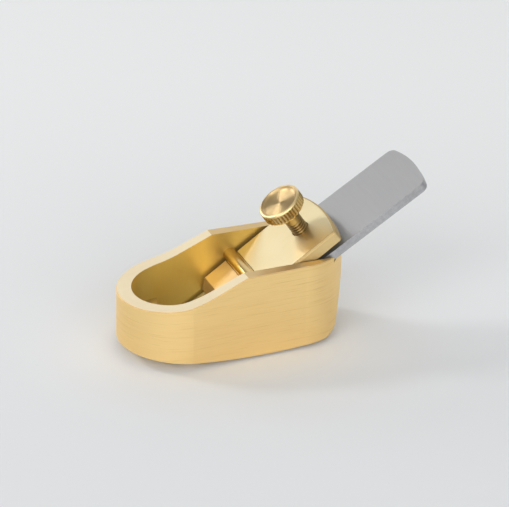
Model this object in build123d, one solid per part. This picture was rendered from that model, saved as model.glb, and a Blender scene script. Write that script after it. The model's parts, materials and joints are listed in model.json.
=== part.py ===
from build123d import *

import os
from math import cos, pi, radians, sin, sqrt, tan

# A small brass finger plane for instrument makers, in millimetres.
# Frame: the origin is the middle of the sole, +X points to the toe, +Z is up.

# Body: one oval block of brass, wide at the toe and a little narrower at the heel
BODY_LENGTH = 52.0
BODY_WIDTH = 26.0
HEEL_RADIUS = 12.0
TOE_FLOOR = 4.5
WELL_FLOOR_RADIUS = 3.0
REAR_RIM_HEIGHT = 20.5
TOE_RIM_HEIGHT = 14.25
RIM_PEAK_X = 0.5
RIM_KNEE_X = 12.4
RIM_KNEE_HEIGHT = 15.4
RIM_KNEE_RADIUS = 31.0
RIM_EDGE_BREAK = 0.2
MOUTH_OPENING = 1.5

# Sole: convex both ways, with a flat spot lapped where it is lowest and a heel that leans in
SOLE_SWEEP_RADIUS = 153.0
SOLE_CROWN_RADIUS = 100.0
SOLE_LOW_X = -4.45
SOLE_FLAT_DEPTH = 0.13
SOLE_SLICES = 4
HEEL_EASE_RADIUS = 3.0
HEEL_EASE_SWEEP = 18.0
HEEL_EASE_RISE = 0.5
HEEL_LEAN = 4.5

# Blade: a flat iron, bevel down, lying on the bed
BED_ANGLE = 32.0
EDGE_X = 12.15
EDGE_RISE = 0.03
BLADE_WIDTH = 18.0
BLADE_SIDE_ROOM = 0.7
BLADE_THICKNESS = 2.0
BLADE_LENGTH = 66.0
BLADE_BEVEL_ANGLE = 25.0
BLADE_END_RADIUS = 28.0
BLADE_CORNER_RADIUS = 2.0
BED_GAP = 0.02

# Lever cap: a flat slab under the cross pin, nose down on the blade
CAP_SIDE_ROOM = 0.5
CAP_THICKNESS = 2.95
CAP_LENGTH = 32.1
CAP_TAIL_RADIUS = 33.0
CAP_TILT = 2.4
CAP_CORNER_RADIUS = 0.8
CAP_EDGE_ROUND = 0.6
NOSE_FROM_EDGE = 11.47
NOSE_GAP = 0.06
NOSE_BEVEL_LENGTH = 2.1
NOSE_LIP_HEIGHT = 0.7

# Cross pin: driven through both walls, half sunk in a groove across the cap
PIN_DIAMETER = 3.2
PIN_FROM_NOSE = 9.8
PIN_CLEARANCE = 0.1

# Thumbscrew: one turned piece that stands square on the cap
SCREW_FROM_NOSE = 25.35
SHANK_DIAMETER = 3.6
SHANK_CLEARANCE = 0.3
TIP_GAP = 0.08
TIP_CHAMFER = 0.6
HEAD_STAND = 6.5
NECK_STEP = 0.2
NECK_LENGTH = 2.0
HEAD_DIAMETER = 10.0
HEAD_THICKNESS = 3.0
HEAD_RIM_RADIUS = 0.45
HEAD_CHAMFER = 0.35
HEAD_LIP = 0.2
DISH_DEPTH = 0.5
DISH_COVE = 0.8
KNURL_COUNT = 38
KNURL_DEPTH = 0.3

# How far cutting shapes run past the faces that they cut
OVERCUT = 1.0

# How far a wall may lean and still count as upright
UPRIGHT_MARGIN = 0.02

# Places that follow from the sizes above
TOE_RADIUS = BODY_WIDTH / 2
TOE_X = BODY_LENGTH / 2
TOE_CENTRE_X = TOE_X - TOE_RADIUS
HEEL_CENTRE_X = HEEL_RADIUS - BODY_LENGTH / 2
WELL_WIDTH = BLADE_WIDTH + 2 * BLADE_SIDE_ROOM
CAP_WIDTH = WELL_WIDTH - 2 * CAP_SIDE_ROOM
CAP_ANGLE = BED_ANGLE + CAP_TILT


def slope(angle):
    """Unit vector that climbs towards the heel at this angle from the sole."""
    return Vector(-cos(radians(angle)), 0, sin(radians(angle)))


def square_to(angle):
    """Unit vector that stands square on a face of that slope."""
    return Vector(sin(radians(angle)), 0, cos(radians(angle)))


def sole_height(x):
    """Height of the sole along the middle of its length."""
    middle = SOLE_SWEEP_RADIUS - SOLE_FLAT_DEPTH
    return middle - sqrt(SOLE_SWEEP_RADIUS**2 - (x - SOLE_LOW_X) ** 2)


# Blade sections are drawn with x up the blade and y out of its top face, from the cutting edge
EDGE = Vector(EDGE_X, 0, sole_height(EDGE_X) + EDGE_RISE)
BLADE_SECTION = Plane(origin=EDGE, x_dir=slope(BED_ANGLE), z_dir=(0, 1, 0))
BLADE_FACE = Plane(origin=EDGE, x_dir=slope(BED_ANGLE), z_dir=square_to(BED_ANGLE))

# Cap sections are drawn the same way from the tip of the nose
NOSE = EDGE + slope(BED_ANGLE) * NOSE_FROM_EDGE + square_to(BED_ANGLE) * NOSE_GAP
CAP_SECTION = Plane(origin=NOSE, x_dir=slope(CAP_ANGLE), z_dir=(0, 1, 0))
CAP_FACE = Plane(origin=NOSE, x_dir=slope(CAP_ANGLE), z_dir=square_to(CAP_ANGLE))

# The pin's axis lies in the top face of the cap, and the screw's foot in its underside
PIN_CENTRE = NOSE + slope(CAP_ANGLE) * PIN_FROM_NOSE + square_to(CAP_ANGLE) * CAP_THICKNESS
SCREW_FOOT = NOSE + slope(CAP_ANGLE) * SCREW_FROM_NOSE


def outer_plan():
    """Plan outline of the body: toe arc, heel arc and the two lines that touch both."""
    lean = (TOE_RADIUS - HEEL_RADIUS) / (TOE_CENTRE_X - HEEL_CENTRE_X)
    rise = sqrt(1 - lean**2)
    toe_x = TOE_CENTRE_X + TOE_RADIUS * lean
    toe_y = TOE_RADIUS * rise
    heel_x = HEEL_CENTRE_X + HEEL_RADIUS * lean
    heel_y = HEEL_RADIUS * rise
    toe_arc = ThreePointArc((toe_x, -toe_y), (TOE_X, 0), (toe_x, toe_y))
    far_side = Line((toe_x, toe_y), (heel_x, heel_y))
    heel_arc = ThreePointArc((heel_x, heel_y), (-TOE_X, 0), (heel_x, -heel_y))
    near_side = Line((heel_x, -heel_y), (toe_x, -toe_y))
    return make_face([toe_arc, far_side, heel_arc, near_side])


def sole_block():
    """Block whose underside is the sole: one crown across, lofted along the sweep of the sole."""
    half = BODY_WIDTH / 2 + OVERCUT
    reach = BODY_LENGTH / 2 + OVERCUT
    top = REAR_RIM_HEIGHT + OVERCUT
    lift = SOLE_CROWN_RADIUS - sqrt(SOLE_CROWN_RADIUS**2 - half**2)
    slices = []
    for step in range(SOLE_SLICES + 1):
        x = reach * (2 * step / SOLE_SLICES - 1)
        low = sole_height(x)
        crown = ThreePointArc((-half, low + lift), (0, low), (half, low + lift))
        sides = Polyline((half, low + lift), (half, top), (-half, top), (-half, low + lift))
        slices.append(Plane.YZ.offset(x) * make_face([crown, sides]))
    return loft(slices)


def heel_cutter():
    """Half ring whose hollow side leans in below the rim and rounds the heel into the sole."""
    lean = tan(radians(HEEL_LEAN))
    top = REAR_RIM_HEIGHT + OVERCUT
    crest = HEEL_EASE_SWEEP + OVERCUT * lean
    foot = HEEL_EASE_SWEEP - (REAR_RIM_HEIGHT - HEEL_EASE_RISE) * lean
    inner = foot - 2 * HEEL_EASE_RADIUS
    outer = HEEL_EASE_SWEEP + OVERCUT
    start = (inner, HEEL_EASE_RISE)
    end = (crest, top)
    hollow = FilletPolyline(start, (foot, HEEL_EASE_RISE), end, radius=HEEL_EASE_RADIUS)
    rest = Polyline(end, (outer, top), (outer, -OVERCUT), (inner, -OVERCUT), start)
    half_ring = revolve(Plane.YZ * make_face([hollow, rest]), Axis.Z, 180)
    return Pos(HEEL_EASE_SWEEP - BODY_LENGTH / 2, 0) * half_ring


def rim_cutter():
    """Everything above the rim: a ramp down from the peak that sweeps out level to the toe."""
    ramp = (REAR_RIM_HEIGHT - RIM_KNEE_HEIGHT) / (RIM_KNEE_X - RIM_PEAK_X)
    lip = (RIM_KNEE_HEIGHT - TOE_RIM_HEIGHT) / (TOE_X - RIM_KNEE_X)
    top = REAR_RIM_HEIGHT + OVERCUT
    high = (RIM_PEAK_X - OVERCUT / ramp, top)
    low = (TOE_X + OVERCUT, TOE_RIM_HEIGHT - OVERCUT * lip)
    sweep = FilletPolyline(high, (RIM_KNEE_X, RIM_KNEE_HEIGHT), low, radius=RIM_KNEE_RADIUS)
    back = Polyline(low, (TOE_X + OVERCUT, top), high)
    return extrude(Plane.XZ * make_face([sweep, back]), BODY_WIDTH, both=True)


def well():
    """The hollow between the walls: toe well, mouth and the space over the sloping bed."""
    bed = EDGE - square_to(BED_ANGLE) * (BLADE_THICKNESS + BED_GAP)
    climb = slope(BED_ANGLE)
    bed_low = bed + climb * ((-OVERCUT - bed.Z) / climb.Z)
    bed_high = bed + climb * BLADE_LENGTH
    mouth_x = EDGE_X + MOUTH_OPENING
    top = bed_high.Z + OVERCUT
    side = Polyline(
        (mouth_x, -OVERCUT),
        (mouth_x, TOE_FLOOR),
        (TOE_X, TOE_FLOOR),
        (TOE_X, top),
        (bed_high.X, top),
        (bed_high.X, bed_high.Z),
        (bed_low.X, bed_low.Z),
        close=True,
    )
    run = TOE_CENTRE_X - bed_high.X
    plan = Pos(TOE_CENTRE_X, 0) * Circle(WELL_WIDTH / 2)
    plan += Pos(TOE_CENTRE_X - run / 2, 0) * Rectangle(run, WELL_WIDTH)
    walls = extrude(Pos(0, 0, -OVERCUT) * plan, top + OVERCUT)
    hollow = extrude(Plane.XZ * make_face(side), WELL_WIDTH, both=True) & walls
    floor = hollow.faces().filter_by(Axis.Z).sort_by(Axis.Z)[1]
    return fillet(floor.edges().sort_by(Axis.X)[1:], WELL_FLOOR_RADIUS)


def crosswise_rod(centre, diameter, length):
    """Round rod across the plane, along Y."""
    return Pos(centre) * Rot(X=90) * Cylinder(diameter / 2, length)


def break_rim(block):
    """Break the sharp outer edge of the rim, before sole and well are cut."""
    walls = block.faces().filter_by(lambda face: abs(face.normal_at().Z) < UPRIGHT_MARGIN).edges()
    tops = block.faces().filter_by(lambda face: face.normal_at().Z > UPRIGHT_MARGIN).edges()
    return chamfer([edge for edge in tops if edge in walls], RIM_EDGE_BREAK)


def make_plane_body():
    """Body block with its swept rim, open well, bed, mouth and pin holes."""
    block = break_rim(extrude(outer_plan(), REAR_RIM_HEIGHT) - rim_cutter())
    block &= sole_block()
    block -= heel_cutter()
    block -= well()
    return block - crosswise_rod(PIN_CENTRE, PIN_DIAMETER, BODY_WIDTH + OVERCUT)


def make_cross_pin():
    """Pin dressed flush with the outside of both walls."""
    rod = crosswise_rod(PIN_CENTRE, PIN_DIAMETER, BODY_WIDTH + OVERCUT)
    return rod & extrude(outer_plan(), REAR_RIM_HEIGHT)


def tailed_plan(length, width, tail_radius, corner_radius):
    """Strip from the origin along x, with a curved far end and eased corners there."""
    half = width / 2
    corner = length - tail_radius + sqrt(tail_radius**2 - half**2)
    strip = Polyline((corner, half), (0, half), (0, -half), (corner, -half))
    tail = ThreePointArc((corner, -half), (length, 0), (corner, half))
    plan = make_face([strip, tail])
    return fillet(plan.vertices().sort_by(Axis.X)[-2:], corner_radius)


def make_blade():
    """Flat iron with a rounded top end and a single bevel underneath."""
    plan = tailed_plan(BLADE_LENGTH, BLADE_WIDTH, BLADE_END_RADIUS, BLADE_CORNER_RADIUS)
    iron = extrude(BLADE_FACE * plan, -BLADE_THICKNESS)
    fall = tan(radians(BLADE_BEVEL_ANGLE))
    reach = BLADE_THICKNESS / fall + OVERCUT
    wedge = Polyline(
        (-OVERCUT, OVERCUT * fall),
        (reach, -reach * fall),
        (-OVERCUT, -reach * fall),
        close=True,
    )
    return iron - extrude(BLADE_SECTION * make_face(wedge), BLADE_WIDTH, both=True)


def make_lever_cap():
    """Slab with a bevelled nose, a rounded tail, the pin's groove and the screw's hole."""
    side = Polyline(
        (0, 0),
        (0, NOSE_LIP_HEIGHT),
        (NOSE_BEVEL_LENGTH, CAP_THICKNESS),
        (CAP_LENGTH, CAP_THICKNESS),
        (CAP_LENGTH, 0),
        close=True,
    )
    cap = extrude(CAP_SECTION * make_face(side), CAP_WIDTH, both=True)
    plan = tailed_plan(CAP_LENGTH, CAP_WIDTH, CAP_TAIL_RADIUS, CAP_CORNER_RADIUS)
    cap &= extrude(CAP_FACE * plan, CAP_THICKNESS)
    top = cap.faces().sort_by(Axis(NOSE, square_to(CAP_ANGLE)))[-1]
    sides_and_tail = top.edges().sort_by(Axis(NOSE, slope(CAP_ANGLE)))[1:]
    cap = fillet(sides_and_tail, CAP_EDGE_ROUND)
    cap -= crosswise_rod(PIN_CENTRE, PIN_DIAMETER + 2 * PIN_CLEARANCE, BODY_WIDTH)
    hole = Circle(SHANK_DIAMETER / 2 + SHANK_CLEARANCE)
    return cap - extrude(CAP_FACE * Pos(SCREW_FROM_NOSE, 0) * hole, CAP_THICKNESS + OVERCUT, both=True)


def knurl_grooves(low, high):
    """The ring of V grooves round the head, between two heights on the screw's axis."""
    crest = HEAD_DIAMETER / 2
    points = []
    for tooth in range(2 * KNURL_COUNT):
        turn = pi * tooth / KNURL_COUNT
        reach = crest - KNURL_DEPTH * (tooth % 2)
        points.append((reach * cos(turn), reach * sin(turn)))
    star = make_face(Polyline(points, close=True))
    ring = Circle(crest + OVERCUT) - star
    return extrude(Pos(0, 0, low) * ring, high - low)


def make_thumbscrew():
    """Screw with a plain shank, a neck and a dished, knurled head."""
    shank = SHANK_DIAMETER / 2
    neck = shank + NECK_STEP
    head = HEAD_DIAMETER / 2
    tip = TIP_GAP - (NOSE_GAP + SCREW_FROM_NOSE * sin(radians(CAP_TILT)))
    low = CAP_THICKNESS + HEAD_STAND
    top = low + HEAD_THICKNESS
    shoulder = top - HEAD_RIM_RADIUS
    bend = HEAD_RIM_RADIUS * (1 - sqrt(0.5))
    dish = head - HEAD_RIM_RADIUS - HEAD_LIP
    floor = top - DISH_DEPTH
    outline = Polyline(
        (dish - DISH_COVE, floor),
        (0, floor),
        (0, tip),
        (shank - TIP_CHAMFER, tip),
        (shank, tip + TIP_CHAMFER),
        (shank, low - NECK_LENGTH),
        (neck, low - NECK_LENGTH),
        (neck, low),
        (head - HEAD_CHAMFER, low),
        (head, low + HEAD_CHAMFER),
        (head, shoulder),
    )
    rim = ThreePointArc((head, shoulder), (head - bend, top - bend), (head - HEAD_RIM_RADIUS, top))
    lip = Line((head - HEAD_RIM_RADIUS, top), (dish, top))
    cove = TangentArc((dish - DISH_COVE, floor), (dish, top), tangent=(1, 0))
    screw = revolve(Plane.XZ * make_face([outline, rim, lip, cove]), Axis.Z)
    screw -= knurl_grooves(low - OVERCUT, shoulder)
    return Plane(origin=SCREW_FOOT, x_dir=slope(CAP_ANGLE), z_dir=square_to(CAP_ANGLE)) * screw


PIECES = {
    "plane_body": make_plane_body,
    "cross_pin": make_cross_pin,
    "blade": make_blade,
    "lever_cap": make_lever_cap,
    "thumbscrew": make_thumbscrew,
}


def main():
    """Build each piece and write it to its own file."""
    os.makedirs("parts", exist_ok=True)
    for name, make in PIECES.items():
        export_step(make(), os.path.join("parts", name + ".step"))


main()
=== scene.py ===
"""Looks of a small brass finger plane: finishes, turned thumbscrew, pale floor, soft light and camera."""

import json
import logging
import math
from dataclasses import dataclass, field
from enum import Enum, IntEnum
from typing import Callable, ClassVar

import bmesh
import bpy
from mathutils import Matrix, Vector


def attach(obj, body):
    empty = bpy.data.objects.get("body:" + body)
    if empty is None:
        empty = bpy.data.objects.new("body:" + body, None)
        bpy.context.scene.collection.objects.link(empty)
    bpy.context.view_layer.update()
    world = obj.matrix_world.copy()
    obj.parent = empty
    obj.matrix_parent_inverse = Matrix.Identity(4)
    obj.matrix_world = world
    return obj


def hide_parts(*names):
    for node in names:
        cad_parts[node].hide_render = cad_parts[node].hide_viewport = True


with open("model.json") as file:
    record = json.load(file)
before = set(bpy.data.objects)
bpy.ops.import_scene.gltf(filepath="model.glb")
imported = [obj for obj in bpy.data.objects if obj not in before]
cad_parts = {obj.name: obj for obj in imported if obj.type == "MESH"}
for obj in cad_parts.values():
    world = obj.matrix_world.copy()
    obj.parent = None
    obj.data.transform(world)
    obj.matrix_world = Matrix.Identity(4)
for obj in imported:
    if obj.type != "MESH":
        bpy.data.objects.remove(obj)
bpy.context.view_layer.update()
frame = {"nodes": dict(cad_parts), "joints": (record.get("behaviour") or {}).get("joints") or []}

Colour = tuple[float, float, float]
MM = 0.001
QUARTER_TURN = 0.25
BUMP_DISTANCE = 0.05 * MM
MERGE_DISTANCE = 0.0005 * MM
KEPT_NORMAL = "solid_normal"
FINISH_NUMBER = "finish"
# painted shade: the span along the plane over which the well wall darkens towards the throat
THROAT_SHADE_SPAN = (-2.2 * MM, 3.0 * MM)
log = logging.getLogger("finger_plane")


def joint(name: str) -> dict:
    """Find a joint of the frame by name.

    Args:
        name: the joint's name in the record.

    Returns:
        The joint's entry, with its place and axis in the frame.
    """
    return next(entry for entry in frame["joints"] if entry["name"] == name)


class Coordinates(Enum):
    """Where a pattern on a surface takes its place from."""

    OBJECT = "Object"
    TURNING = "turning"


class Effect(Enum):
    """Patterns that several finishes share, by the names of their node groups."""

    GRAIN = "Metal grain"
    PATINA = "Handled patina"


class TreeKind(Enum):
    """What a node group works on."""

    SHADER = "ShaderNodeTree"
    GEOMETRY = "GeometryNodeTree"


class BodyFace(IntEnum):
    """Kinds of face on the body."""

    SIDE = 0
    RIM = 1
    REAR_RIM = 2
    WELL = 3
    SOLE = 4
    FLOOR = 5
    BREAK = 6


class PinFace(IntEnum):
    """Kinds of face on the pin."""

    BARREL = 0
    END = 1


class BladeFace(IntEnum):
    """Kinds of face on the iron."""

    FLAT = 0
    EDGE = 1
    BEVEL = 2


class CapFace(IntEnum):
    """Kinds of face on the lever cap."""

    TOP = 0
    SIDE = 1
    GROOVE = 2
    FRONT = 3
    ROUND = 4


class ScrewFace(IntEnum):
    """Kinds of face on the thumbscrew."""

    DISH = 0
    KNURL = 1
    THREAD = 2
    LIP = 3


@dataclass
class NodeTree:
    """A node tree that is filled by code."""

    tree: bpy.types.NodeTree

    def add(self, kind: str, inputs: dict | None = None, **settings: object) -> bpy.types.Node:
        """Add one node.

        Args:
            kind: the node's type name.
            inputs: values for its sockets, by name or number. A socket of another node is linked.
            settings: properties of the node itself.

        Returns:
            The new node.
        """
        node = self.tree.nodes.new(kind)
        for name, value in settings.items():
            setattr(node, name, value)
        for name, value in (inputs or {}).items():
            self.put(node.inputs[name], value)
        return node

    def put(self, socket: bpy.types.NodeSocket, value: object) -> None:
        """Give a socket a constant value, or link it to another node's output.

        Args:
            socket: the input socket.
            value: a number, colour, vector or an output socket.
        """
        if isinstance(value, bpy.types.NodeSocket):
            self.tree.links.new(value, socket)
        else:
            socket.default_value = value

    def math(self, operation: str, *values: object, clamp: bool = False) -> bpy.types.NodeSocket:
        """Add a Math node of the tree's own kind.

        Args:
            operation: the Math node's operation.
            values: its one to three inputs.
            clamp: whether the result stays between 0 and 1.

        Returns:
            The node's output.
        """
        node = self.add("ShaderNodeMath", operation=operation, use_clamp=clamp)
        for socket, value in zip(node.inputs, values):
            self.put(socket, value)
        return node.outputs[0]

    def remap(self, value: object, low: object, high: object, to_low: object = 0.0,
              to_high: object = 1.0, smooth: bool = True) -> bpy.types.NodeSocket:
        """Map a value from one range to another, clamped at both ends.

        Args:
            value: the value to map.
            low: start of the range it comes from.
            high: end of the range it comes from.
            to_low: result at the start.
            to_high: result at the end.
            smooth: whether the ends are eased.

        Returns:
            The mapped value's socket.
        """
        node = self.add("ShaderNodeMapRange", interpolation_type="SMOOTHSTEP" if smooth else "LINEAR")
        for socket, given in zip(node.inputs, (value, low, high, to_low, to_high)):
            self.put(socket, given)
        return node.outputs[0]

    def blend(self, factor: object, first: object, second: object) -> bpy.types.NodeSocket:
        """Blend two colours.

        Args:
            factor: 0 for the first colour, 1 for the second.
            first: a colour or a colour socket.
            second: a colour or a colour socket.

        Returns:
            The blended colour's socket.
        """
        node = self.add("ShaderNodeMix", data_type="RGBA")
        for number, given in ((0, factor), (6, first), (7, second)):
            self.put(node.inputs[number], (*given, 1.0) if isinstance(given, tuple) else given)
        return node.outputs[2]


def new_group(name: str, kind: TreeKind, inputs: dict[str, tuple[str, object]],
              outputs: dict[str, str]) -> tuple[NodeTree, bpy.types.Node, bpy.types.Node]:
    """Start a node group with named sockets.

    Args:
        name: the group's name.
        kind: what the group works on.
        inputs: socket kind and first value for each input's name.
        outputs: socket kind for each output's name.

    Returns:
        The tree, its input node and its output node.
    """
    tree = bpy.data.node_groups.new(name, kind.value)
    for label, (socket_kind, value) in inputs.items():
        socket = tree.interface.new_socket(label, in_out="INPUT", socket_type=socket_kind)
        if value is not None:
            socket.default_value = value
    for label, socket_kind in outputs.items():
        tree.interface.new_socket(label, in_out="OUTPUT", socket_type=socket_kind)
    nodes = NodeTree(tree)
    return nodes, nodes.add("NodeGroupInput"), nodes.add("NodeGroupOutput")


class Effects:
    """Shader node groups that several finishes share, each built once."""

    FINE_STRETCH: ClassVar[Colour] = (2.3, 2.3, 3.1)
    STROKE_STRETCH: ClassVar[Colour] = (2.2, 2.2, 3.8)
    STROKE_BAND: ClassVar[tuple[float, float]] = (0.58, 0.76)
    PATCH_BAND: ClassVar[tuple[float, float]] = (0.32, 0.68)
    SPOT_BAND: ClassVar[tuple[float, float]] = (0.55, 0.72)
    SPOTS_PER_PATCH: ClassVar[float] = 14.0
    BROAD_SHARE: ClassVar[float] = 0.55
    FINE_SHARE: ClassVar[float] = 0.45
    _built: ClassVar[dict[Effect, bpy.types.NodeTree]] = {}

    @classmethod
    def get(cls, effect: Effect) -> bpy.types.NodeTree:
        """Give a shared group, built at its first use.

        Args:
            effect: the pattern that is wanted.

        Returns:
            The shader node group.
        """
        if effect not in cls._built:
            cls._built[effect] = {Effect.GRAIN: cls._grain, Effect.PATINA: cls._patina}[effect]()
        return cls._built[effect]

    @classmethod
    def _grain(cls) -> bpy.types.NodeTree:
        """Build the drawn or ground grain: long fine streaks, broken by finer ones, and sparse deep strokes."""
        nodes, given, result = new_group(
            Effect.GRAIN.value, TreeKind.SHADER,
            {"Vector": ("NodeSocketVector", None), "Stretch": ("NodeSocketVector", (1.0, 1.0, 1.0)),
             "Contrast": ("NodeSocketFloat", 0.5)},
            {"Streaks": "NodeSocketFloat", "Strokes": "NodeSocketFloat", "Height": "NodeSocketFloat"})
        scaled = nodes.add("ShaderNodeVectorMath", operation="MULTIPLY",
                           inputs={0: given.outputs["Vector"], 1: given.outputs["Stretch"]}).outputs[0]
        broad = nodes.add("ShaderNodeTexNoise", {"Vector": scaled, "Scale": 1.0, "Detail": 3.0,
                                                 "Roughness": 0.55}).outputs[0]
        doubled = nodes.add("ShaderNodeVectorMath", operation="MULTIPLY",
                            inputs={0: scaled, 1: cls.FINE_STRETCH}).outputs[0]
        fine = nodes.add("ShaderNodeTexNoise", {"Vector": doubled, "Scale": 1.0, "Detail": 4.0,
                                                "Roughness": 0.7}).outputs[0]
        mixed = nodes.math("ADD", nodes.math("MULTIPLY", broad, cls.BROAD_SHARE),
                           nodes.math("MULTIPLY", fine, cls.FINE_SHARE))
        half_band = nodes.math("SUBTRACT", 0.52, nodes.math("MULTIPLY", given.outputs["Contrast"], 0.4))
        low = nodes.math("SUBTRACT", 0.5, half_band)
        high = nodes.math("ADD", 0.5, half_band)
        tripled = nodes.add("ShaderNodeVectorMath", operation="MULTIPLY",
                            inputs={0: scaled, 1: cls.STROKE_STRETCH}).outputs[0]
        sparse = nodes.add("ShaderNodeTexNoise", {"Vector": tripled, "Scale": 1.0, "Detail": 1.0}).outputs[0]
        nodes.put(result.inputs["Strokes"], nodes.remap(sparse, *cls.STROKE_BAND))
        nodes.put(result.inputs["Streaks"], nodes.remap(mixed, low, high))
        nodes.put(result.inputs["Height"], mixed)
        return nodes.tree

    @classmethod
    def _patina(cls) -> bpy.types.NodeTree:
        """Build the uneven tone of handled metal: soft patches and small spots."""
        nodes, given, result = new_group(
            Effect.PATINA.value, TreeKind.SHADER,
            {"Vector": ("NodeSocketVector", None), "Patch Scale": ("NodeSocketFloat", 90.0)},
            {"Patches": "NodeSocketFloat", "Spots": "NodeSocketFloat"})
        patches = nodes.add("ShaderNodeTexNoise", {"Vector": given.outputs["Vector"],
                                                   "Scale": given.outputs["Patch Scale"], "Detail": 3.0,
                                                   "Roughness": 0.5}).outputs[0]
        spot_scale = nodes.math("MULTIPLY", given.outputs["Patch Scale"], cls.SPOTS_PER_PATCH)
        spots = nodes.add("ShaderNodeTexNoise", {"Vector": given.outputs["Vector"], "Scale": spot_scale,
                                                 "Detail": 2.0, "Roughness": 0.6}).outputs[0]
        nodes.put(result.inputs["Patches"], nodes.remap(patches, *cls.PATCH_BAND))
        nodes.put(result.inputs["Spots"], nodes.remap(spots, *cls.SPOT_BAND))
        return nodes.tree


@dataclass(frozen=True)
class MetalFinish:
    """One metal surface: its tones, gloss, the marks that its making left and any painted shade."""

    name: str
    light: Colour
    dark: Colour
    roughness: float
    stretch: Colour
    contrast: float = 0.5
    grain_tone: float = 0.5
    patch_tone: float = 0.35
    patch_scale: float = 90.0
    rough_swing: float = 0.08
    bump: float = 0.06
    metallic: float = 1.0
    anisotropy: float = 0.0
    stroke: Colour | None = None
    throat_shade: Colour | None = None
    groove_shade: Colour | None = None
    coordinates: Coordinates = Coordinates.OBJECT

    def material(self) -> bpy.types.Material:
        """Build the finish as a material.

        Returns:
            The new material.
        """
        material = bpy.data.materials.new(self.name)
        material.use_nodes = True
        nodes = NodeTree(material.node_tree)
        shader = nodes.tree.nodes["Principled BSDF"]
        place = self._place(nodes)
        grain = nodes.add("ShaderNodeGroup", node_tree=Effects.get(Effect.GRAIN))
        nodes.put(grain.inputs["Vector"], place)
        nodes.put(grain.inputs["Stretch"], self.stretch)
        nodes.put(grain.inputs["Contrast"], self.contrast)
        patina = nodes.add("ShaderNodeGroup", node_tree=Effects.get(Effect.PATINA))
        nodes.put(patina.inputs["Vector"], place)
        nodes.put(patina.inputs["Patch Scale"], self.patch_scale)
        streaks = nodes.math("MULTIPLY", grain.outputs["Streaks"], self.grain_tone)
        patches = nodes.math("MULTIPLY", patina.outputs["Patches"], self.patch_tone)
        tone = nodes.math("ADD", streaks, patches, clamp=True)
        colour = nodes.blend(tone, self.light, self.dark)
        gloss = nodes.math("ADD", self.roughness - self.rough_swing / 2,
                           nodes.math("MULTIPLY", grain.outputs["Streaks"], self.rough_swing))
        if self.stroke is not None:
            colour = nodes.blend(grain.outputs["Strokes"], colour, self.stroke)
        # painted shade: darkens the colour towards the throat, standing in for the shadow and dark reflection of
        # the pin and cap
        if self.throat_shade is not None:
            along = nodes.add("ShaderNodeSeparateXYZ", {0: place}).outputs[0]
            colour = nodes.blend(nodes.remap(along, *THROAT_SHADE_SPAN), self.throat_shade, colour)
        # painted shade: darkens the knurl and thread grooves by their depth
        if self.groove_shade is not None:
            depth = nodes.add("ShaderNodeAttribute", attribute_name="groove_shade").outputs["Fac"]
            colour = nodes.blend(depth, colour, self.groove_shade)
        bump = nodes.add("ShaderNodeBump", {"Strength": self.bump, "Distance": BUMP_DISTANCE,
                                            "Height": grain.outputs["Height"]})
        nodes.put(shader.inputs["Base Color"], colour)
        nodes.put(shader.inputs["Roughness"], gloss)
        nodes.put(shader.inputs["Normal"], bump.outputs[0])
        shader.inputs["Metallic"].default_value = self.metallic
        if self.anisotropy:
            shader.inputs["Anisotropic"].default_value = self.anisotropy
            shader.inputs["Anisotropic Rotation"].default_value = QUARTER_TURN
            tangent = nodes.add("ShaderNodeTangent", direction_type="UV_MAP",
                                uv_map=Coordinates.TURNING.value)
            nodes.put(shader.inputs["Tangent"], tangent.outputs[0])
        return material

    def _place(self, nodes: NodeTree) -> bpy.types.NodeSocket:
        """Give the coordinates that the patterns follow.

        Args:
            nodes: the material's tree.

        Returns:
            The vector's socket.
        """
        if self.coordinates is Coordinates.TURNING:
            return nodes.add("ShaderNodeUVMap", uv_map=Coordinates.TURNING.value).outputs[0]
        return nodes.add("ShaderNodeTexCoord").outputs[Coordinates.OBJECT.value]


BODY_SIDE = MetalFinish("brass_long_brushed", (0.99, 0.73, 0.335), (0.93, 0.66, 0.285), 0.46,
                        (60.0, 60.0, 1500.0), contrast=0.55, grain_tone=0.55, patch_scale=60.0, bump=0.12,
                        stroke=(0.87, 0.615, 0.26))
# partly polish, partly painted highlight: the rim's top is paler and less yellow than the sides, for the light it
# catches
BODY_RIM_POLISH_AND_HIGHLIGHT = MetalFinish("brass_rim_polish_and_painted_highlight", (0.96, 0.84, 0.60), (0.92, 0.77, 0.51), 0.52, (420.0, 900.0, 900.0),
                       grain_tone=0.35, metallic=0.8)
# painted shade: the rim behind its peak is the same brass, painted darker for the darker reflection it shows
BODY_REAR_RIM_SHADE = MetalFinish("brass_rear_rim_painted_shade", (0.71, 0.53, 0.27), (0.63, 0.45, 0.21), 0.38,
                            (300.0, 1400.0, 900.0), grain_tone=0.5)
# painted shade: the milled well wall is painted darker towards the throat, where the pin and cap shade it
BODY_WELL = MetalFinish("brass_milled_well_painted_shade", (0.93, 0.69, 0.18), (0.87, 0.61, 0.14), 0.42,
                        (900.0, 900.0, 120.0), grain_tone=0.4, metallic=0.75, throat_shade=(0.46, 0.32, 0.09))
BODY_FLOOR = MetalFinish("brass_milled_floor", (0.74, 0.56, 0.20), (0.65, 0.48, 0.16), 0.5,
                         (700.0, 700.0, 700.0), grain_tone=0.5)
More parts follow.
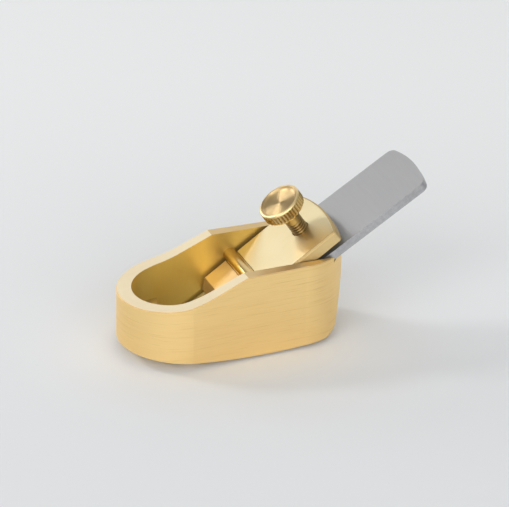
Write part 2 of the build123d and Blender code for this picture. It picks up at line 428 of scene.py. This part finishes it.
# painted shade: the edge breaks are painted darker than the sides so that they hold back a glint
BODY_BREAK_SHADE = MetalFinish("brass_broken_edge_painted_shade", (0.86, 0.65, 0.33), (0.80, 0.58, 0.28), 0.75, (300.0, 300.0, 900.0))
BODY_SOLE = MetalFinish("brass_ground_sole", (0.88, 0.66, 0.32), (0.80, 0.57, 0.26), 0.30,
                        (90.0, 1800.0, 900.0), grain_tone=0.5, bump=0.08)
PIN_BRASS = MetalFinish("brass_drawn_pin", (0.70, 0.52, 0.24), (0.61, 0.43, 0.17), 0.2, (500.0, 40.0, 500.0))
CAP_BRASS = MetalFinish("brass_satin_cap", (0.97, 0.84, 0.53), (0.93, 0.77, 0.44), 0.37, (150.0, 900.0, 150.0),
                        grain_tone=0.25, patch_scale=120.0, rough_swing=0.05, bump=0.03)
# painted shade: the cap's sides are painted darker than its top, for the shade they lie in and to hold back their
# highlight
CAP_SIDE_SHADE = MetalFinish("brass_cap_edge_painted_shade", (0.78, 0.61, 0.31), (0.71, 0.53, 0.25), 0.56, (300.0, 900.0, 700.0))
# painted shade: the rounds between top and sides are painted darker still, so that they show no highlight line
CAP_ROUND_SHADE = MetalFinish("brass_cap_round_painted_shade", (0.66, 0.51, 0.26), (0.60, 0.44, 0.20), 0.7, (300.0, 900.0, 700.0))
# painted shade: the groove under the pin is painted near black, where the pin shades it
CAP_GROOVE_SHADE = MetalFinish("brass_pin_groove_painted_shade", (0.34, 0.20, 0.07), (0.26, 0.14, 0.04), 0.5, (500.0, 60.0, 500.0))
# painted shadow: the cap's front land ahead of the pin is painted darker and duller than its top
CAP_FRONT_SHADE = MetalFinish("brass_cap_front_painted_shadow", (0.85, 0.66, 0.40), (0.78, 0.58, 0.33), 0.5, (150.0, 900.0, 150.0),
                        grain_tone=0.3, patch_scale=120.0)
STEEL_FACE = MetalFinish("steel_ground_face", (0.475, 0.475, 0.48), (0.42, 0.42, 0.43), 0.48,
                         (1100.0, 70.0, 1100.0), grain_tone=0.4, patch_tone=0.25, patch_scale=50.0)
STEEL_EDGE = MetalFinish("steel_speckled_edge", (0.60, 0.60, 0.61), (0.43, 0.43, 0.44), 0.42,
                         (1500.0, 1500.0, 1500.0), contrast=0.8, grain_tone=0.8, bump=0.25)
STEEL_BEVEL = MetalFinish("steel_honed_bevel", (0.66, 0.66, 0.67), (0.60, 0.60, 0.61), 0.16,
                          (1800.0, 60.0, 1800.0), grain_tone=0.3)
SCREW_FACE = MetalFinish("brass_turned_face", (0.71, 0.53, 0.28), (0.61, 0.43, 0.19), 0.38, (2.0, 5200.0, 1.0),
                         contrast=0.6, grain_tone=0.5, patch_tone=0.15, patch_scale=30.0, anisotropy=0.95,
                         coordinates=Coordinates.TURNING)
SCREW_LIP = MetalFinish("brass_polished_lip", (0.90, 0.71, 0.37), (0.82, 0.60, 0.27), 0.36, (2.0, 900.0, 1.0),
                        grain_tone=0.3, patch_tone=0.2, coordinates=Coordinates.TURNING)
# painted shade: the knurl's grooves are painted dark by their depth
SCREW_KNURL = MetalFinish("brass_knurl", (0.78, 0.58, 0.25), (0.69, 0.48, 0.18), 0.28, (700.0, 700.0, 700.0),
                          groove_shade=(0.42, 0.25, 0.07))
# painted shade: the shank is painted far darker than the other brass, for the shade under the head; its thread
# roots darker still
SCREW_THREAD_SHADED = MetalFinish("brass_thread_painted_shade", (0.38, 0.27, 0.11), (0.32, 0.21, 0.08), 0.32, (700.0, 700.0, 700.0),
                           groove_shade=(0.15, 0.09, 0.03))


@dataclass
class MachinedPiece:
    """A solid of the frame, copied as a mesh whose faces are finished one kind at a time."""

    node: str
    body: str
    slot: str
    name: str
    finishes: dict[IntEnum, MetalFinish]
    choose: Callable[[Vector, Vector], IntEnum]

    def build(self) -> bpy.types.Object:
        """Copy the solid, dress its faces and let it ride in the solid's place.

        Returns:
            The dressed piece.
        """
        mesh = self.merged_copy()
        self.dress(mesh)
        piece = bpy.data.objects.new(self.name, mesh)
        bpy.context.scene.collection.objects.link(piece)
        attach(piece, self.body)
        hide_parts(self.node)
        log.info("%s: %d faces in %d finishes", self.name, len(mesh.polygons), len(self.finishes))
        return piece

    def dress(self, mesh: bpy.types.Mesh) -> None:
        """Give every face the finish of its kind.

        Args:
            mesh: the copied mesh.
        """
        for kind in sorted(self.finishes):
            mesh.materials.append(self.finishes[kind].material())
        for face in mesh.polygons:
            face.material_index = self.choose(face.center, face.normal)

    def merged_copy(self) -> bpy.types.Mesh:
        """Copy the solid's mesh, join its loose triangles and keep the solid's own normals.

        Returns:
            The joined mesh, with no materials.
        """
        solid = frame["nodes"][self.node].data
        shape = bmesh.new()
        shape.from_mesh(solid)
        shape.faces.ensure_lookup_table()
        kept = shape.loops.layers.float_vector.new(KEPT_NORMAL)
        corners = [corner for face in shape.faces for corner in face.loops]
        for corner, normal in zip(corners, solid.corner_normals):
            corner[kept] = normal.vector
        bmesh.ops.remove_doubles(shape, verts=shape.verts, dist=MERGE_DISTANCE)
        for face in shape.faces:
            face.smooth = True
        mesh = bpy.data.meshes.new(self.name)
        shape.to_mesh(mesh)
        shape.free()
        normals = [tuple(corner.vector) for corner in mesh.attributes[KEPT_NORMAL].data]
        mesh.attributes.remove(mesh.attributes[KEPT_NORMAL])
        mesh.normals_split_custom_set(normals)
        return mesh


@dataclass
class PlaneBody:
    """The brass body and the pin through its walls."""

    toe_centre_x: float = 13.0 * MM
    well_half: float = 9.7 * MM
    wall_middle: float = 10.9 * MM
    rim_peak_x: float = 0.5 * MM
    heel_start_x: float = -14.0 * MM
    floor_top: float = 8.0 * MM
    sole_limit: float = -0.9
    rim_limit: float = 0.8
    heel_limit: float = -0.1
    well_limit: float = -0.5
    floor_limit: float = 0.12
    break_limit: float = 0.3
    pin_end_limit: float = 0.7

    def build(self) -> None:
        """Dress the body and the pin."""
        finishes = {BodyFace.SIDE: BODY_SIDE, BodyFace.RIM: BODY_RIM_POLISH_AND_HIGHLIGHT, BodyFace.REAR_RIM: BODY_REAR_RIM_SHADE,
                    BodyFace.WELL: BODY_WELL, BodyFace.SOLE: BODY_SOLE, BodyFace.FLOOR: BODY_FLOOR,
                    BodyFace.BREAK: BODY_BREAK_SHADE}
        MachinedPiece("plane_body", "stock", "body_brass", "body_block", finishes, self.face_kind).build()
        finishes = {PinFace.BARREL: PIN_BRASS, PinFace.END: BODY_SIDE}
        MachinedPiece("cross_pin", "stock", "pin_brass", "wall_pin", finishes, self.pin_kind).build()

    def face_kind(self, centre: Vector, normal: Vector) -> BodyFace:
        """Tell side, rim, rear rim, well, sole, floor and broken edge faces apart.

        Args:
            centre: middle of the face.
            normal: the way that the face points.

        Returns:
            The face's kind.
        """
        across = math.hypot(max(centre.x - self.toe_centre_x, 0.0), centre.y)
        if normal.z < self.sole_limit:
            return BodyFace.SOLE
        if normal.z > self.rim_limit and across > self.well_half:
            return BodyFace.RIM if centre.x > self.rim_peak_x else BodyFace.REAR_RIM
        outer_heel = centre.x < self.heel_start_x and normal.x < self.heel_limit
        if across < self.wall_middle and not outer_heel and normal.z > self.well_limit:
            low = normal.z > self.floor_limit and centre.z < self.floor_top
            return BodyFace.FLOOR if low else BodyFace.WELL
        return BodyFace.BREAK if normal.z > self.break_limit else BodyFace.SIDE

    def pin_kind(self, centre: Vector, normal: Vector) -> PinFace:
        """Give the pin's dressed ends the finish of the wall.

        Args:
            centre: middle of the face.
            normal: the way that the face points.

        Returns:
            The face's kind.
        """
        return PinFace.END if abs(normal.y) > self.pin_end_limit else PinFace.BARREL


@dataclass
class Blade:
    """The flat iron on the bed."""

    bed_axis: Vector = field(default_factory=lambda: Vector(joint("blade_slide")["axis"]))
    flat_limit: float = 0.98
    bevel_limit: float = -0.2

    def build(self) -> None:
        """Dress the iron."""
        finishes = {BladeFace.FLAT: STEEL_FACE, BladeFace.EDGE: STEEL_EDGE, BladeFace.BEVEL: STEEL_BEVEL}
        MachinedPiece("blade", "iron", "blade_steel", "iron", finishes, self.face_kind).build()

    def face_kind(self, centre: Vector, normal: Vector) -> BladeFace:
        """Tell the flat faces, the edges and the bevel apart.

        Args:
            centre: middle of the face.
            normal: the way that the face points.

        Returns:
            The face's kind.
        """
        out = Vector((self.bed_axis.z, 0.0, -self.bed_axis.x))
        if abs(normal.dot(out)) > self.flat_limit:
            return BladeFace.FLAT
        return BladeFace.BEVEL if normal.dot(self.bed_axis) < self.bevel_limit else BladeFace.EDGE


@dataclass
class LeverCap:
    """The slab that clamps the iron."""

    screw_axis: Vector = field(default_factory=lambda: Vector(joint("thumbscrew_turn")["axis"]))
    pin: Vector = field(default_factory=lambda: Vector(joint("lever_cap_rock")["pos_m"]))
    groove: float = 1.72 * MM
    top_limit: float = 0.97
    side_limit: float = 0.25

    def build(self) -> None:
        """Dress the cap."""
        finishes = {CapFace.TOP: CAP_BRASS, CapFace.SIDE: CAP_SIDE_SHADE, CapFace.GROOVE: CAP_GROOVE_SHADE,
                    CapFace.FRONT: CAP_FRONT_SHADE, CapFace.ROUND: CAP_ROUND_SHADE}
        MachinedPiece("lever_cap", "cap", "cap_brass", "cap_slab", finishes, self.face_kind).build()

    def face_kind(self, centre: Vector, normal: Vector) -> CapFace:
        """Tell the polished faces, the edges, their rounds, the pin's groove and the front land apart.

        Args:
            centre: middle of the face.
            normal: the way that the face points.

        Returns:
            The face's kind.
        """
        if math.hypot(centre.x - self.pin.x, centre.z - self.pin.z) < self.groove:
            return CapFace.GROOVE
        upright = abs(normal.dot(self.screw_axis))
        if upright < self.top_limit:
            return CapFace.SIDE if upright < self.side_limit else CapFace.ROUND
        # the front land ahead of the pin takes the painted shadow
        return CapFace.FRONT if centre.x > self.pin.x else CapFace.TOP


@dataclass
class Thumbscrew:
    """The turned screw: threaded shank, neck and knurled, dished head."""

    tip: float = -1.04 * MM
    shank: float = 1.95 * MM
    tip_chamfer: float = 0.5 * MM
    thread_top: float = 7.45 * MM
    neck: float = 2.0 * MM
    head_low: float = 9.45 * MM
    head_top: float = 12.45 * MM
    head: float = 5.0 * MM
    rim: float = 0.45 * MM
    chamfer: float = 0.35 * MM
    dish: float = 4.35 * MM
    dish_depth: float = 0.5 * MM
    cove: float = 0.8 * MM
    pitch: float = 0.7 * MM
    thread_depth: float = 0.36 * MM
    runout: float = 1.3 * MM
    knurl_count: int = 38
    knurl_depth: float = 0.3 * MM
    segments: int = 304
    rows_per_pitch: int = 10
    neck_rise: float = 0.1 * MM
    fillet: float = 0.25 * MM
    band_gap: float = 0.15 * MM
    band_rows: int = 6
    dish_rings: int = 12
    crease: float = 32.0
    thread_root: ClassVar[float] = 0.10
    thread_crest: ClassVar[float] = 0.88
    knurl_fade: ClassVar[float] = 0.2 * MM
    axis_clear: ClassVar[float] = 1.2 * MM
    finishes: ClassVar[dict[ScrewFace, MetalFinish]] = {
        ScrewFace.DISH: SCREW_FACE, ScrewFace.KNURL: SCREW_KNURL, ScrewFace.THREAD: SCREW_THREAD_SHADED,
        ScrewFace.LIP: SCREW_LIP}
    foot: Vector = field(default_factory=lambda: Vector(joint("thumbscrew_turn")["pos_m"]))
    axis: Vector = field(default_factory=lambda: Vector(joint("thumbscrew_turn")["axis"]))

    def build(self) -> bpy.types.Object:
        """Turn the screw, cut its thread and knurl, and set it in the cap.

        Returns:
            The finished screw.
        """
        blank = bpy.data.objects.new("screw_blank", self.blank())
        bpy.context.scene.collection.objects.link(blank)
        mesh = self.cut(blank)
        bpy.data.objects.remove(blank)
        mesh.transform(self.place())
        mesh.set_sharp_from_angle(angle=math.radians(self.crease))
        screw = bpy.data.objects.new("thumb_screw", mesh)
        bpy.context.scene.collection.objects.link(screw)
        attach(screw, "screw")
        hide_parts("thumbscrew")
        log.info("thumb_screw: %d faces, %d knurls", len(mesh.polygons), self.knurl_count)
        return screw

    def place(self) -> Matrix:
        """Give the turn and shift from the lathe to the cap.

        Returns:
            The matrix from the screw's own frame to the plane's.
        """
        side = Vector((0.0, 1.0, 0.0))
        ahead = side.cross(self.axis)
        turn = Matrix((ahead, side, self.axis)).transposed().to_4x4()
        return Matrix.Translation(self.foot) @ turn

    def profile(self) -> list[tuple[float, float, ScrewFace]]:
        """List the outline from the tip to the middle of the dish.

        Returns:
            Radius, height and kind of face of each point.
        """
        points = [(self.shank - self.tip_chamfer, self.tip, ScrewFace.THREAD)]
        low = self.tip + self.tip_chamfer
        rows = round((self.thread_top - low) / self.pitch * self.rows_per_pitch)
        points += [(self.shank, low + (self.thread_top - low) * row / rows, ScrewFace.THREAD)
                   for row in range(rows + 1)]
        knurl = ScrewFace.KNURL
        below_head = self.head_low - self.fillet
        points += [(self.neck, self.thread_top + self.neck_rise, knurl), (self.neck, below_head, knurl)]
        points += self.arc(self.neck + self.fillet, below_head, self.fillet, 180.0, 90.0, knurl)
        band_low = self.head_low + self.chamfer
        points += [(self.head - self.chamfer, self.head_low, knurl), (self.head, band_low, knurl)]
        shoulder = self.head_top - self.rim
        band = shoulder - self.band_gap - band_low
        points += [(self.head, band_low + band * row / self.band_rows, knurl)
                   for row in range(1, self.band_rows + 1)]
        points += self.arc(self.head - self.rim, shoulder, self.rim, 0.0, 90.0, ScrewFace.LIP)
        bend = (self.cove**2 + self.dish_depth**2) / (2 * self.dish_depth)
        lip = math.degrees(math.atan2(self.dish_depth - bend, self.cove))
        flat = self.dish - self.cove
        points += self.arc(flat, self.dish_floor() + bend, bend, lip, -90.0, ScrewFace.DISH)
        points += [(flat * (1 - step / self.dish_rings), self.dish_floor(), ScrewFace.DISH)
                   for step in range(1, self.dish_rings)]
        return points

    def dish_floor(self) -> float:
        """Give the height of the dish's flat floor."""
        return self.head_top - self.dish_depth

    @staticmethod
    def arc(x: float, z: float, radius: float, start: float, end: float, kind: ScrewFace,
            steps: int = 6) -> list[tuple[float, float, ScrewFace]]:
        """List points on an arc of the outline.

        Args:
            x: radius of the arc's centre from the screw's axis.
            z: height of the arc's centre.
            radius: the arc's own radius.
            start: first angle, in degrees.
            end: last angle, in degrees.
            kind: kind of face at the points.
            steps: number of spans.

        Returns:
            Radius, height and kind of face of each point.
        """
        angles = [math.radians(start + (end - start) * step / steps) for step in range(steps + 1)]
        return [(x + radius * math.cos(a), z + radius * math.sin(a), kind) for a in angles]

    def blank(self) -> bpy.types.Mesh:
        """Spin the outline into a closed mesh with a map of turn and height.

        Returns:
            The plain turned mesh, standing on its own axis.
        """
        shape = bmesh.new()
        mapping = shape.loops.layers.uv.new(Coordinates.TURNING.value)
        finish = shape.faces.layers.int.new(FINISH_NUMBER)
        outline = self.profile()
        rings = []
        for radius, height, _ in outline:
            ring = []
            for step in range(self.segments):
                turn = 2 * math.pi * step / self.segments
                ring.append(shape.verts.new((radius * math.cos(turn), radius * math.sin(turn), height)))
            rings.append(ring)
        run = 0.0
        for row in range(len(rings) - 1):
            step_run = math.dist(outline[row][:2], outline[row + 1][:2])
            for step in range(self.segments):
                after = (step + 1) % self.segments
                face = shape.faces.new((rings[row][step], rings[row][after], rings[row + 1][after],
                                        rings[row + 1][step]))
                face[finish] = outline[row + 1][2]
                spots = ((step, run), (step + 1, run), (step + 1, run + step_run), (step, run + step_run))
                for loop, (turn, along) in zip(face.loops, spots):
                    loop[mapping].uv = (turn / self.segments, along)
            run += step_run
        for face in self.close(shape, rings[0], self.tip, False, mapping, 0.0):
            face[finish] = ScrewFace.THREAD
        self.close(shape, rings[-1], self.dish_floor(), True, mapping, run)
        mesh = bpy.data.meshes.new("screw_blank")
        for face in shape.faces:
            face.smooth = True
        shape.to_mesh(mesh)
        shape.free()
        return mesh

    def close(self, shape: bmesh.types.BMesh, ring: list[bmesh.types.BMVert], height: float, up: bool,
              mapping: bmesh.types.BMLayerItem, run: float) -> list[bmesh.types.BMFace]:
        """Close an end of the blank with a fan of triangles.

        Args:
            shape: the mesh being built.
            ring: the end's last ring.
            height: height of the fan's middle.
            up: whether the end faces up the axis.
            mapping: layer of the turning map.
            run: length of the outline at the ring.

        Returns:
            The fan's triangles.
        """
        fan = []
        middle = shape.verts.new((0.0, 0.0, height))
        for step in range(self.segments):
            first, second = ring[step], ring[(step + 1) % self.segments]
            face = shape.faces.new((first, second, middle) if up else (second, first, middle))
            fan.append(face)
            turns = (step, step + 1, step + 0.5) if up else (step + 1, step, step + 0.5)
            for loop, turn, along in zip(face.loops, turns, (run, run, run + self.shank / 4)):
                loop[mapping].uv = (turn / self.segments, along)
        return fan

    def cut(self, blank: bpy.types.Object) -> bpy.types.Mesh:
        """Cut the thread and the knurl into the blank.

        Args:
            blank: the plain turned object.

        Returns:
            A plain mesh with both cut into it.
        """
        tree = self.cutting_tree([self.finishes[kind].material() for kind in sorted(self.finishes)])
        modifier = blank.modifiers.new("cutting", "NODES")
        modifier.node_group = tree
        sizes = {"Pitch": self.pitch, "Thread Depth": self.thread_depth, "Thread Low": self.tip,
                 "Thread High": self.thread_top - self.runout, "Knurl Count": float(self.knurl_count),
                 "Knurl Depth": self.knurl_depth, "Knurl Low": self.head_low,
                 "Knurl High": self.head_top - self.rim}
        for item in tree.interface.items_tree:
            if item.in_out == "INPUT" and item.name in sizes:
                modifier[item.identifier] = sizes[item.name]
        graph = bpy.context.evaluated_depsgraph_get()
        mesh = bpy.data.meshes.new_from_object(blank.evaluated_get(graph))
        blank.modifiers.remove(modifier)
        return mesh

    @classmethod
    def cutting_tree(cls, materials: list[bpy.types.Material]) -> bpy.types.NodeTree:
        """Build the tree that sinks V grooves round the head and along a helix on the shank.

        Args:
            materials: the material for each kind of face, in order.

        Returns:
            The geometry node tree.
        """
        number = ("NodeSocketFloat", 1.0)
        names = ("Pitch", "Thread Depth", "Thread Low", "Thread High", "Knurl Count", "Knurl Depth", "Knurl Low",
                 "Knurl High")
        inputs = {"Geometry": ("NodeSocketGeometry", None), **{name: number for name in names}}
        nodes, given, result = new_group("Thread and knurl", TreeKind.GEOMETRY, inputs,
                                         {"Geometry": "NodeSocketGeometry"})
        value = given.outputs
        place = nodes.add("GeometryNodeInputPosition").outputs[0]
        parts = nodes.add("ShaderNodeSeparateXYZ", {0: place}).outputs
        turn = nodes.math("DIVIDE", nodes.math("ARCTAN2", parts[1], parts[0]), 2 * math.pi)
        climb = nodes.math("SUBTRACT", nodes.math("DIVIDE", parts[2], value["Pitch"]), turn)
        flank = nodes.math("MULTIPLY", nodes.math("PINGPONG", climb, 0.5), 2.0)
        thread = nodes.remap(flank, cls.thread_root, cls.thread_crest, 1.0, 0.0, smooth=False)
        started = nodes.remap(parts[2], value["Thread Low"], nodes.math("ADD", value["Thread Low"], value["Pitch"]))
        ended = nodes.remap(parts[2], nodes.math("SUBTRACT", value["Thread High"], value["Pitch"]),
                            value["Thread High"], 1.0, 0.0)
        thread = nodes.math("MULTIPLY", nodes.math("MULTIPLY", thread, started), ended)
        teeth = nodes.math("MULTIPLY", nodes.math("PINGPONG", nodes.math("MULTIPLY", turn, value["Knurl Count"]),
                                                  0.5), 2.0)
        above = nodes.math("GREATER_THAN", parts[2], value["Knurl Low"])
        below = nodes.remap(parts[2], nodes.math("SUBTRACT", value["Knurl High"], cls.knurl_fade),
                            value["Knurl High"], 1.0, 0.0)
        knurl = nodes.math("MULTIPLY", nodes.math("MULTIPLY", nodes.math("SUBTRACT", 1.0, teeth), above), below)
        depth = nodes.math("ADD", nodes.math("MULTIPLY", thread, value["Thread Depth"]),
                           nodes.math("MULTIPLY", knurl, value["Knurl Depth"]))
        flat = nodes.add("ShaderNodeCombineXYZ", {0: parts[0], 1: parts[1], 2: 0.0}).outputs[0]
        outward = nodes.add("ShaderNodeVectorMath", {0: flat}, operation="NORMALIZE").outputs[0]
        rim_only = nodes.math("GREATER_THAN", nodes.add("ShaderNodeVectorMath", {0: flat},
                                                        operation="LENGTH").outputs["Value"], cls.axis_clear)
        sink = nodes.math("MULTIPLY", nodes.math("MULTIPLY", depth, -1.0), rim_only)
        offset = nodes.add("ShaderNodeVectorMath", operation="SCALE")
        nodes.put(offset.inputs[0], outward)
        nodes.put(offset.inputs["Scale"], sink)
        moved = nodes.add("GeometryNodeSetPosition", {"Geometry": value["Geometry"], "Offset": offset.outputs[0]})
        # groove depth, stored so that the materials paint shade into the grooves
        groove_shade = nodes.math("MAXIMUM", thread, knurl)
        stored = nodes.add("GeometryNodeStoreNamedAttribute", data_type="FLOAT", domain="POINT")
        nodes.put(stored.inputs["Geometry"], moved.outputs[0])
        nodes.put(stored.inputs["Name"], "groove_shade")
        nodes.put(stored.inputs["Value"], groove_shade)
        dressed = nodes.add("GeometryNodeRealizeInstances", {0: stored.outputs[0]}).outputs[0]
        finish = nodes.add("GeometryNodeInputNamedAttribute", {"Name": FINISH_NUMBER}, data_type="INT").outputs[0]
        for number, material in enumerate(materials):
            chosen = nodes.math("GREATER_THAN", finish, number - 0.5)
            dressed = nodes.add("GeometryNodeSetMaterial", {"Geometry": dressed, "Selection": chosen,
                                                            "Material": material}).outputs[0]
        nodes.put(result.inputs["Geometry"], dressed)
        return nodes.tree


@dataclass(frozen=True)
class SoftBox:
    """A round lamp, measured by the share of the floor's light that it gives."""

    name: str
    direction: Colour
    distance: float
    size: float
    share: float

    def build(self) -> None:
        """Hang the lamp and turn it to the plane."""
        away = Vector(self.direction).normalized()
        lamp = bpy.data.lights.new(self.name, "AREA")
        lamp.shape = "DISK"
        lamp.size = self.size
        lamp.energy = self.share * (math.pi * self.distance) ** 2 / away.z
        holder = bpy.data.objects.new(self.name, lamp)
        holder.location = away * self.distance
        holder.rotation_euler = away.to_track_quat("Z", "Y").to_euler()
        bpy.context.scene.collection.objects.link(holder)


LAMPS = (
    SoftBox("overhead_softbox", (0.0, 0.0, 1.0), 1.6, 1.6, 0.09),
    SoftBox("toe_softbox", (0.65, 0.65, 0.44), 1.8, 2.0, 0.245),
    SoftBox("front_softbox", (-0.25, 0.85, 0.45), 1.8, 2.2, 0.08),
    SoftBox("low_front_softbox", (0.0, 0.95, 0.25), 1.8, 1.4, 0.07),
    SoftBox("heel_softbox", (-0.80, -0.40, 0.45), 1.8, 1.6, 0.025),
    SoftBox("rear_lamp", (0.60, -0.57, 0.56), 1.6, 0.3, 0.11),
    SoftBox("low_rear_softbox", (0.54, -0.80, 0.24), 1.8, 0.8, 0.042),
)


@dataclass
class Studio:
    """Pale floor, soft light and the camera."""

    floor_half: float = 6.0
    floor_colour: Colour = (0.785, 0.80, 0.815)
    # painted light: the floor's colour at the back, paler than at the front
    paper_far_painted_light: Colour = (0.90, 0.915, 0.92)
    painted_light_start: float = -0.08
    painted_light_end: float = 0.16
    sky: float = 0.28
    glow: float = 1.0
    glow_from: Colour = (-0.30, -0.82, 0.48)
    glow_edge: float = 38.0
    glow_core: float = 12.0
    azimuth: float = 22.498
    elevation: float = 27.381
    roll: float = 1.0617
    distance: float = 931.4 * MM
    aim_height: float = 11.5 * MM
    shift_right: float = 5.633 * MM
    shift_up: float = 7.949 * MM
    focal_pixels: float = 4179.73
    image_width: float = 509.0
    sensor: float = 36.0
    clip_end: float = 20.0
    paper_roughness: float = 0.9
    paper_specular: float = 0.1

    def build(self) -> None:
        """Set floor, light and camera."""
        scene = bpy.context.scene
        scene.view_settings.view_transform = "Standard"
        self.floor()
        self.surround(scene)
        for lamp in LAMPS:
            lamp.build()
        scene.camera = self.camera()

    def floor(self) -> None:
        """Lay the floor under the sole, with painted light that makes it paler towards the back."""
        mesh = bpy.data.meshes.new("studio_floor")
        half = self.floor_half
        mesh.from_pydata([(-half, -half, 0.0), (half, -half, 0.0), (half, half, 0.0), (-half, half, 0.0)], [],
                         [(0, 1, 2, 3)])
        material = bpy.data.materials.new("studio_paper")
        material.use_nodes = True
        nodes = NodeTree(material.node_tree)
        shader = nodes.tree.nodes["Principled BSDF"]
        turn = math.radians(self.azimuth)
        away = Vector((-math.sin(turn), -math.cos(turn), 0.0))
        place = nodes.add("ShaderNodeTexCoord").outputs[Coordinates.OBJECT.value]
        depth = nodes.add("ShaderNodeVectorMath", {0: place, 1: away}, operation="DOT_PRODUCT").outputs["Value"]
        # painted light: the floor's colour grows paler towards the back
        far_light_mask = nodes.remap(depth, self.painted_light_start, self.painted_light_end)
        nodes.put(shader.inputs["Base Color"], nodes.blend(far_light_mask, self.floor_colour, self.paper_far_painted_light))
        shader.inputs["Roughness"].default_value = self.paper_roughness
        shader.inputs["Specular IOR Level"].default_value = self.paper_specular
        mesh.materials.append(material)
        floor = bpy.data.objects.new("studio_floor", mesh)
        bpy.context.scene.collection.objects.link(floor)

    def surround(self, scene: bpy.types.Scene) -> None:
        """Surround the scene with pale light that glows behind the plane.

        Args:
            scene: the scene whose world is set.
        """
        world = bpy.data.worlds.new("studio_light")
        world.use_nodes = True
        nodes = NodeTree(world.node_tree)
        direction = nodes.add("ShaderNodeTexCoord").outputs["Generated"]
        towards = Vector(self.glow_from).normalized()
        facing = nodes.add("ShaderNodeVectorMath", {0: direction, 1: towards}, operation="DOT_PRODUCT")
        edge, core = (math.cos(math.radians(angle)) for angle in (self.glow_edge, self.glow_core))
        strength = nodes.remap(facing.outputs["Value"], edge, core, self.sky, self.glow)
        background = nodes.tree.nodes["Background"]
        background.inputs["Color"].default_value = (1.0, 1.0, 1.0, 1.0)
        nodes.put(background.inputs["Strength"], strength)
        scene.world = world

    def camera(self) -> bpy.types.Object:
        """Set the camera at the photograph's view.

        Returns:
            The camera object.
        """
        turn, lift, tilt = (math.radians(a) for a in (self.azimuth, self.elevation, self.roll))
        back = Vector((math.sin(turn) * math.cos(lift), math.cos(turn) * math.cos(lift), math.sin(lift)))
        level = Vector((-math.cos(turn), math.sin(turn), 0.0))
        upright = back.cross(level)
        right = level * math.cos(tilt) + upright * math.sin(tilt)
        up = upright * math.cos(tilt) - level * math.sin(tilt)
        data = bpy.data.cameras.new("photo_camera")
        data.sensor_width = self.sensor
        data.lens = self.focal_pixels * self.sensor / self.image_width
        data.clip_end = self.clip_end
        camera = bpy.data.objects.new("photo_camera", data)
        place = Vector((0.0, 0.0, self.aim_height)) + back * self.distance
        place += right * self.shift_right + up * self.shift_up
        camera.matrix_world = Matrix.Translation(place) @ Matrix((right, up, back)).transposed().to_4x4()
        bpy.context.scene.collection.objects.link(camera)
        return camera


def main() -> None:
    """Build the plane's pieces in order, then the studio."""
    logging.basicConfig(level=logging.INFO)
    for assembly in (PlaneBody(), Blade(), LeverCap(), Thumbscrew(), Studio()):
        assembly.build()
        log.info("%s built", type(assembly).__name__)


if __name__ == "__main__":
    main()
